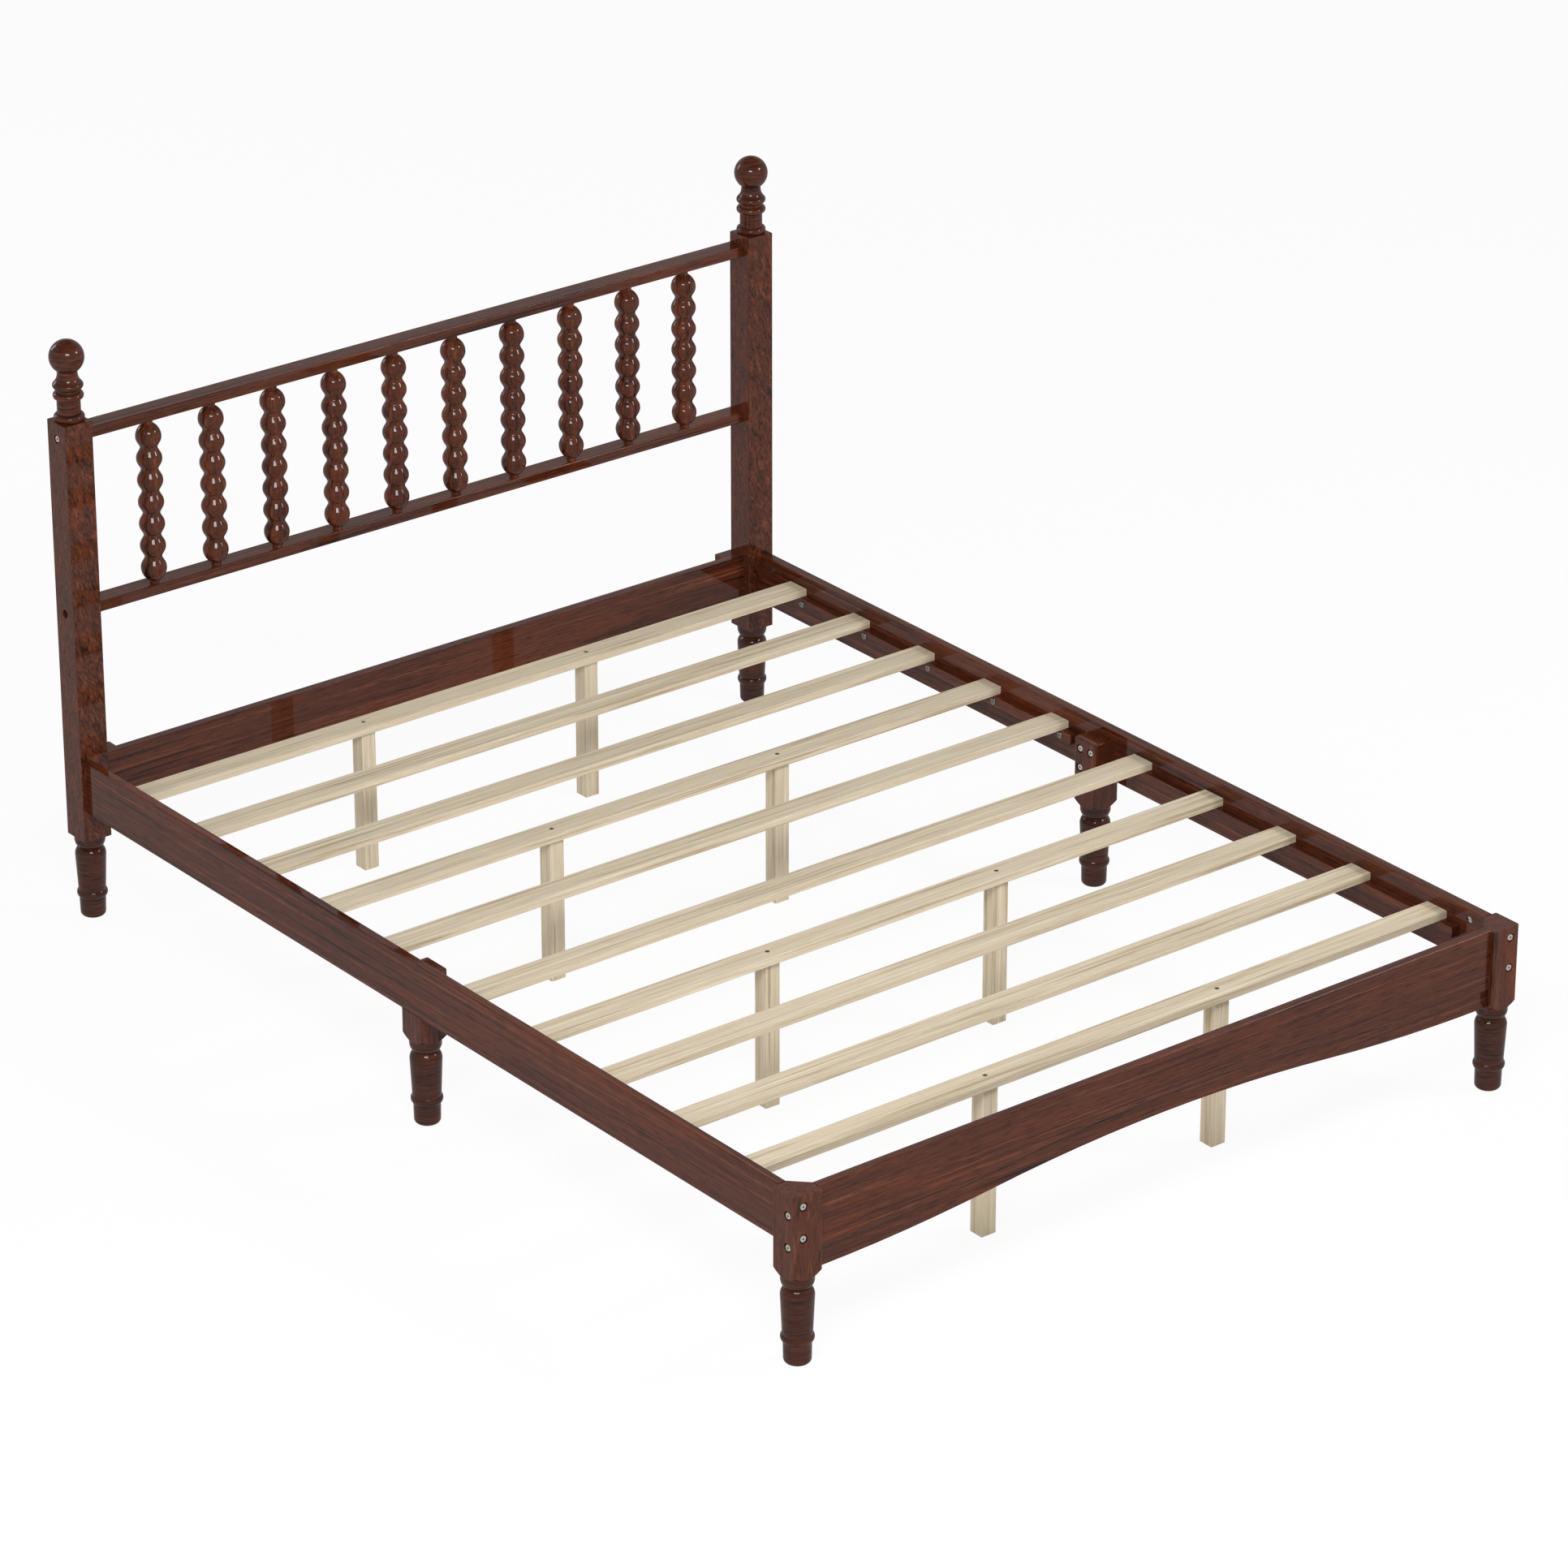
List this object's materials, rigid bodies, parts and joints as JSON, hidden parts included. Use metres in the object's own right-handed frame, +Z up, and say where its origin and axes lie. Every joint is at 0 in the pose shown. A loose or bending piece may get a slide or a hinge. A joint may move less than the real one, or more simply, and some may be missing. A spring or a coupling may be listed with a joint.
{
  "type": "spindle bed",
  "caption": "Low-foot bed frame with a bobbin-turned spindle headboard, ball finials, turned legs, an arched foot rail and a slatted base.",
  "frame": {"origin": "on the floor, below the middle of the bed", "axes": "+Z up, +Y from the foot towards the headboard, +X to the right seen from the foot"},
  "size_m": [1.6064, 2.1512, 1.1342],
  "materials": {
    "stained_hardwood": "glossy lacquer over a dark reddish-brown stain",
    "natural_pine": "bare, planed",
    "zinc_plated_steel": "bright zinc plating"
  },
  "bodies": {
    "root": {"head_post_left": "stained_hardwood", "finial_left": "stained_hardwood", "head_leg_left": "stained_hardwood", "head_panel_cleat_left": "stained_hardwood", "foot_leg_left": "stained_hardwood", "mid_leg_left": "stained_hardwood", "side_rail_left_head": "stained_hardwood", "ledger_left_head": "stained_hardwood", "side_rail_left_foot": "stained_hardwood", "ledger_left_foot": "stained_hardwood", "head_post_right": "stained_hardwood", "finial_right": "stained_hardwood", "head_leg_right": "stained_hardwood", "head_panel_cleat_right": "stained_hardwood", "foot_leg_right": "stained_hardwood", "mid_leg_right": "stained_hardwood", "side_rail_right_head": "stained_hardwood", "ledger_right_head": "stained_hardwood", "side_rail_right_foot": "stained_hardwood", "ledger_right_foot": "stained_hardwood", "headboard_top_rail": "stained_hardwood", "headboard_bottom_rail": "stained_hardwood", "head_panel": "stained_hardwood", "foot_rail": "stained_hardwood", "spindle_1": "stained_hardwood", "spindle_2": "stained_hardwood", "spindle_3": "stained_hardwood", "spindle_4": "stained_hardwood", "spindle_5": "stained_hardwood", "spindle_6": "stained_hardwood", "spindle_7": "stained_hardwood", "spindle_8": "stained_hardwood", "spindle_9": "stained_hardwood", "spindle_10": "stained_hardwood", "slat_1": "natural_pine", "slat_2": "natural_pine", "slat_3": "natural_pine", "slat_4": "natural_pine", "slat_5": "natural_pine", "slat_6": "natural_pine", "slat_7": "natural_pine", "slat_8": "natural_pine", "slat_9": "natural_pine", "slat_10": "natural_pine", "support_leg_1": "natural_pine", "support_leg_2": "natural_pine", "support_leg_3": "natural_pine", "support_leg_4": "natural_pine", "support_leg_5": "natural_pine", "support_leg_6": "natural_pine", "support_leg_7": "natural_pine", "support_leg_8": "natural_pine", "headboard_bolts": "zinc_plated_steel", "head_post_bolts": "zinc_plated_steel", "foot_leg_bolts": "zinc_plated_steel", "barrel_nuts": "zinc_plated_steel", "mid_leg_bolts": "zinc_plated_steel", "ledger_screws": "zinc_plated_steel", "support_leg_screws": "zinc_plated_steel", "cleat_screws": "zinc_plated_steel"}
  },
  "joints": []
}
